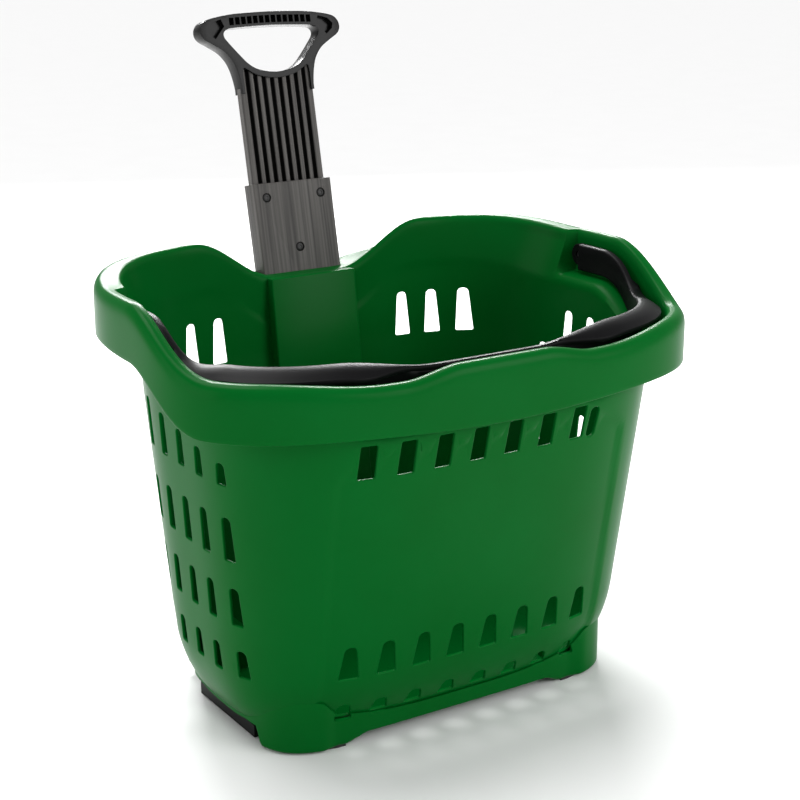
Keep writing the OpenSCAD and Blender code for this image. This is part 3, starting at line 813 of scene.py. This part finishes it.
def build_base():
    """Ring under the tub with the two front feet, and the solid core of each foot."""
    steps = 360
    points = [(x, y + PLAN_Y, z) for i in range(steps) for x, y, z in base_section(2 * math.pi * i / steps)]
    ring = to_object("base_ring", points, tube_faces(steps, len(points) // steps, True), GREEN)
    flip_if_inside_out(ring)
    for side in (-1, 1):
        boolean(ring, well_cut(side), "DIFFERENCE")
    for slot in all_slots():
        if slot.side == "front" and slot.low < 50:
            tool = prism("cut", slot.loop(0.3), PLAN_Y - 125, PLAN_Y - 90, upright)
            flip_if_inside_out(tool)
            boolean(ring, tool, "DIFFERENCE")
    green_part(ring)
    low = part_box("foot_pads")[1].z / MM
    for side, name in ((-1, "foot_left"), (1, "foot_right")):
        arc = [base_outline(math.radians(d), 2.4) for d in range(270, 361, 2)]
        arc = [(x, y) for x, y in arc if x > 122 and y < -64]
        loop = [(122, arc[0][1])] + arc + [(arc[-1][0], -64), (122, -64)]
        loop = [(side * x, y + PLAN_Y) for x, y in loop]
        foot = prism(name, loop, low, 26, lambda a, s, b: (a, b, s), GREEN)
        flip_if_inside_out(foot)
        green_part(bevel(foot, 5.0, 4, 50))


def build_pivot_bosses():
    for side, name in ((-1, "boss_left"), (1, "boss_right")):
        profile = [(-5.0, 4.0), (-5.0, 8.0), (5.0, 8.0), (5.0, 4.0)]
        centre = (side * 260, PIVOT.y, PIVOT.z)
        green_part(lathe(name, profile, centre, (1, 0, 0), GREEN, 32))


# ---- bail ------------------------------------------------------------------------

BAIL_STEPS = 220


def bail_section(p):
    """Cross-section of the bail in direction p."""
    x, y = outline(RIM_A, RIM_B, p)
    forward = smooth((-y - 20) / 90)
    middle = 1 - smooth((abs(x) - 60) / 110)
    centre = lerp(24.5, 37, forward)
    flange = 13.5 * math.sqrt(clamp01((-y - 46) / 9)) * smooth((abs(x) - 84) / 62)
    top = lerp(crest(x, y) - 12, lerp(368, 357, middle), forward)
    tall = lerp(27, 24, forward)
    w = 3.5
    edge = max(centre - w - flange, 17.2)

    def at(inset, z):
        qx, qy = outline(RIM_A - inset, RIM_B - inset, p)
        return qx, qy + PLAN_Y, z

    drop = 0.55 * flange + 0.2
    bottom = top - tall
    crown = [at(centre + w, top - 2.6), at(centre + w - 0.5, top - 1.1), at(centre + w - 1.6, top - 0.3),
             at(centre, top), at(centre - w + 1.2 - flange * 0.3, top - drop * 0.2)]
    brim = [at(lerp(centre - w + 1.2, edge + 1.2, 0.7), top - drop * 0.62),
            at(edge + 1.5, top - drop - 0.2), at(edge + 0.4, top - drop - 0.9),
            at(edge, top - drop - 2.2), at(edge + 0.3, top - drop - 4.2), at(edge + 1.0, top - drop - 4.8),
            at(lerp(centre - w, edge + 1.2, 0.6), top - 4.6 - 0.7 * drop)]
    web = [at(centre - w, top - 5.6 - 0.25 * drop), at(centre - w, top - tall / 2),
           at(centre - w, bottom + 1.4), at(centre - w + 1.2, bottom), at(centre + w - 1.2, bottom),
           at(centre + w, bottom + 1.4), at(centre + w, top - tall / 2)]
    return crown + brim + web


def build_bail():
    reach = math.atan2(PIVOT.y - PLAN_Y, RIM_B - 24.5)
    start, end = math.pi - reach, 2 * math.pi + reach
    points = [q for i in range(BAIL_STEPS + 1) for q in bail_section(lerp(start, end, i / BAIL_STEPS))]
    n = len(points) // (BAIL_STEPS + 1)
    faces = tube_faces(BAIL_STEPS + 1, n, False)
    faces += [tuple(range(n - 1, -1, -1)), tuple(BAIL_STEPS * n + k for k in range(n))]
    bail = to_object("bail", points, faces, BLACK)
    flip_if_inside_out(bail)
    for side, name in ((-1, "bail_eye_left"), (1, "bail_eye_right")):
        profile = [(-3.5, 4.1), (-3.5, 10.4), (-2.9, 11.0), (2.9, 11.0), (3.5, 10.4), (3.5, 4.1)]
        eye = lathe(name, profile, (side * 248.5, PIVOT.y, PIVOT.z), (1, 0, 0), BLACK, 40)
        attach(eye, "bail")
        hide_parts("bail_handle")
    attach(bail, "bail")
    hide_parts("bail_handle")


# ---- pull handle -------------------------------------------------------------------

RIBS = 9
RIB_PITCH = 9.2
BLADE_HALF = 41.0
BLADE_FRONT = 7.0
BLADE_BACK = 17.0
BLADE_LOW = -92.0                          # ends of the blade along the handle
BLADE_TOP = 116.0
GRIP_FRONT = 4.0
GRIP_BACK = 20.0


def blade_section():
    """Ribbed front and flat back of the blade, as (x, v) pairs."""
    front = [(-BLADE_HALF, BLADE_BACK - 1), (-BLADE_HALF, BLADE_FRONT + 0.8),
             (-BLADE_HALF + 0.8, BLADE_FRONT)]
    for i in range(RIBS - 1):
        x = (i - (RIBS - 2) / 2) * RIB_PITCH
        front += [(x - 2.9, BLADE_FRONT), (x - 2.3, BLADE_FRONT + 0.6), (x - 1.9, BLADE_FRONT + 5.6),
                  (x - 1.2, BLADE_FRONT + 6.2), (x + 1.2, BLADE_FRONT + 6.2), (x + 1.9, BLADE_FRONT + 5.6),
                  (x + 2.3, BLADE_FRONT + 0.6), (x + 2.9, BLADE_FRONT)]
    front += [(BLADE_HALF - 0.8, BLADE_FRONT), (BLADE_HALF, BLADE_FRONT + 0.8),
              (BLADE_HALF, BLADE_BACK - 1), (BLADE_HALF - 1, BLADE_BACK), (1 - BLADE_HALF, BLADE_BACK)]
    return front


# half outlines of the grip in handle coordinates, up one side: the hand hole, the outer edge
# and the arch where the ribs end
HOLE_HALF = [(0, 109.6), (10, 110.6), (22, 113.8), (31, 119.6), (39, 128.0), (48, 138.5), (53.5, 146),
             (52.5, 151.5), (45, 154.3), (20, 155.6), (0, 156)]
EDGE_HALF = [(41, 90), (41.2, 98), (43.5, 111), (47.5, 122), (55, 131.5), (66, 138.8), (75.5, 144.6),
             (79, 151), (77, 158.5), (69, 163.8), (45, 167.8), (20, 169), (0, 169.4)]
ARCH_HALF = [(0, 103.8), (11, 104.8), (23, 108.0), (31, 112.5), (36.2, 115), (37.8, 109), (37.9, 99),
             (37.9, 90)]


def build_pull():
    hole_half, edge_half, arch_half = (curve_through(half) for half in (HOLE_HALF, EDGE_HALF, ARCH_HALF))
    left = [(-a, b) for a, b in reversed(edge_half)][1:]
    arch_left = [(-a, b) for a, b in reversed(arch_half)]
    loop = edge_half + left + arch_left[:-1] + arch_half
    grip = plate("grip", [loop, mirrored(hole_half)], GRIP_FRONT, GRIP_BACK, in_handle, GRIP)
    bevel(grip, 2.6, 4, 50)
    recess_grip(grip)
    blade = prism("blade", blade_section()[::-1], BLADE_LOW, BLADE_TOP, lambda a, s, b: in_handle(a, b, s),
                  HANDLE)
    flip_if_inside_out(blade)
    hole = prism("hole", [(a * 1.03, b - 1.5) for a, b in mirrored(hole_half)], 0, 30, in_handle)
    flip_if_inside_out(hole)
    boolean(blade, hole, "DIFFERENCE")
    # paints shade into the flutes by giving their faces the near-black material
    paint_groove_shade(blade)
    for obj in (blade, grip):
        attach(obj, "pull")
        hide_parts("pull_handle")


def paint_groove_shade(blade):
    """Gives the faces down in the flutes a near-black material: painted shade standing in for the shadow
    down in the flutes.
    """
    mesh = blade.data
    mesh.materials.append(GROOVE_SHADE)
    flank = BLADE_HALF - 1.0
    for face in mesh.polygons:
        y, z = face.center.y / MM - ROOT_Y, face.center.z / MM - ROOT_Z
        depth = y * math.cos(LEAN) - z * math.sin(LEAN)
        if abs(face.center.x / MM) < flank and BLADE_FRONT + 0.9 < depth < BLADE_BACK - 1:
            face.material_index = 1


CORNER_POCKET = [(52, 156.5), (58, 150), (63, 144.5), (70, 150), (71.5, 155), (66, 160.5), (55, 163.5)]


def recess_grip(grip):
    """Sinks the front of the top bar between two lips and leaves thin ribs across it."""
    for i in range(14):
        x = (i - 6.5) * 6.7
        low = 158.4 - 0.0006 * x * x
        pocket = block("pocket", (x - 2.6, GRIP_FRONT - 2, low), (x + 2.6, GRIP_FRONT + 7.5, low + 7.4),
                       None, in_handle)
        boolean(grip, pocket, "DIFFERENCE")
    for side in (-1, 1):
        loop = [(side * a, b) for a, b in CORNER_POCKET[::side]]
        pocket = prism("pocket", loop, GRIP_FRONT - 2, GRIP_FRONT + 6, in_handle)
        flip_if_inside_out(pocket)
        boolean(grip, pocket, "DIFFERENCE")


SCREW_SPOTS = [(-31.0, -14.5), (31.0, -14.5), (0.0, -66.5)]


def build_sleeve():
    half, deep, long, sheet = SLEEVE_HALF, SLEEVE_DEEP, SLEEVE_LEN, 2.4
    sleeve = block("sleeve", (-half, 0, -long), (half, deep, 0), HANDLE, in_handle)
    bore = block("cut", (sheet - half, sheet, -long - 5), (half - sheet, deep - sheet, 5), None, in_handle)
    boolean(sleeve, bore, "DIFFERENCE")
    bevel(sleeve, 0.9)
    groove = block("groove", (half - 1, 1.6, -long - 5), (half + 1, 4.4, 5), None, in_handle)
    boolean(sleeve, groove, "DIFFERENCE")
    for x, w in SCREW_SPOTS:
        profile = [(-2, 0.01), (-2, 4.9), (1.6, 4.9), (1.6, 0.01)]
        recess = lathe("cut", profile, in_handle(x, 0, w), handle_normal(), None, 40)
        boolean(sleeve, recess, "DIFFERENCE")
        build_screw(x, w)
    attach(sleeve, "sleeve")
    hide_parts("outer_sleeve")


def handle_normal():
    """Direction that points into the sleeve front."""
    return 0.0, math.cos(LEAN), -math.sin(LEAN)


def build_screw(x, w):
    """Black screw sunk in its recess, with a round hollow in its head."""
    profile = [(0.8, 0.01), (0.8, 1.5), (0.3, 1.9), (0.3, 3.6), (0.9, 4.4), (1.5, 4.4), (1.5, 2.0),
               (5.6, 2.0), (5.6, 0.01)]
    screw = lathe("sleeve_screw", profile, in_handle(x, 0, w), handle_normal(), SCREW, 32)
    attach(screw, "sleeve")
    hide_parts("sleeve_screws")


# ---- wheels and the rest -------------------------------------------------------------

def build_wheels():
    for side, name in ((-1, "left"), (1, "right")):
        centre = (side * WHEEL.x, WHEEL.y, WHEEL.z)
        r = WHEEL_R
        tread = [(-9, 16), (-9, r - 2.6), (-8.4, r - 1.2), (-6.8, r - 0.2), (-4, r), (4, r), (6.8, r - 0.2),
                 (8.4, r - 1.2), (9, r - 2.6), (9, 16)]
        tyre = lathe("tyre_" + name, tread, centre, (1, 0, 0), RUBBER, 64)
        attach(tyre, "wheel_" + name)
        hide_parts("tyre_" + name)


CAD_LOOKS = {
    "duct_cover": BLACK, "guide_pads": BLACK, "sleeve_stop": BLACK, "blade_stop": BLACK,
    "wheel_carrier_left": BLACK, "wheel_carrier_right": BLACK,
    "duct_cover_screws": STEEL, "blade_rivets": STEEL, "bail_pin_left": STEEL, "bail_pin_right": STEEL,
    "carrier_screws": STEEL, "axles": STEEL, "wheel_washers": STEEL, "foot_pad_studs": STEEL,
    "wheel_hub_left": DARK, "wheel_hub_right": DARK, "foot_pads": RUBBER,
}


def dress_cad_nodes():
    for name, material in CAD_LOOKS.items():
        mesh = frame["nodes"][name].data
        mesh.materials.clear()
        mesh.materials.append(material)


# ---- studio -----------------------------------------------------------------------------

def area_light(name, place, target, size, power, colour=(1, 1, 1)):
    light = bpy.data.lights.new(name, "AREA")
    light.shape = "RECTANGLE"
    light.size, light.size_y = size
    light.energy = power
    light.color = colour
    obj = bpy.data.objects.new(name, light)
    bpy.context.scene.collection.objects.link(obj)
    obj.location = place
    obj.rotation_euler = (Vector(target) - Vector(place)).to_track_quat("-Z", "Y").to_euler()


def studio():
    middle = (0, 0, 0.25)
    area_light("key", (1.3, -2.1, 1.3), middle, (1.3, 1.3), 30)
    area_light("left", (-2.6, 0.3, 0.9), middle, (1.6, 1.8), 16)
    area_light("rim", (0.9, 2.0, 1.5), middle, (1.6, 0.35), 90)
    sun = bpy.data.lights.new("top", "SUN")
    sun.energy = 2.0
    sun.angle = math.radians(35)
    lamp = bpy.data.objects.new("top", sun)
    bpy.context.scene.collection.objects.link(lamp)
    lamp.rotation_euler = (math.radians(-18), math.radians(-6), 0)
    world = bpy.data.worlds.new("studio")
    bpy.context.scene.world = world
    world.use_nodes = True
    world.node_tree.nodes["Background"].inputs["Color"].default_value = (1, 1, 1, 1)
    world.node_tree.nodes["Background"].inputs["Strength"].default_value = 0.5
    reach = 60000
    corners = [(-reach, -reach, 0), (reach, -reach, 0), (reach, reach, 0), (-reach, reach, 0)]
    paint = plastic("pale_floor", (0.88, 0.88, 0.88), (0.87, 0.87, 0.87), 0.8, 60, 0.02)
    to_object("floor", corners, [(0, 1, 2, 3)], paint)


def camera():
    data = bpy.data.cameras.new("camera")
    data.sensor_width = 36
    data.lens = 77.0
    obj = bpy.data.objects.new("camera", data)
    bpy.context.scene.collection.objects.link(obj)
    obj.location = (-0.8388, PLAN_Y * MM - 1.3026, 0.7418)
    obj.rotation_euler = (math.radians(73.43), 0, math.radians(-32.84))
    bpy.context.scene.camera = obj


build_tub()
build_duct()
build_wells()
build_base()
build_pivot_bosses()
build_bail()
build_pull()
build_sleeve()
build_wheels()
dress_cad_nodes()
studio()
camera()
bpy.context.scene.view_settings.view_transform = "Standard"
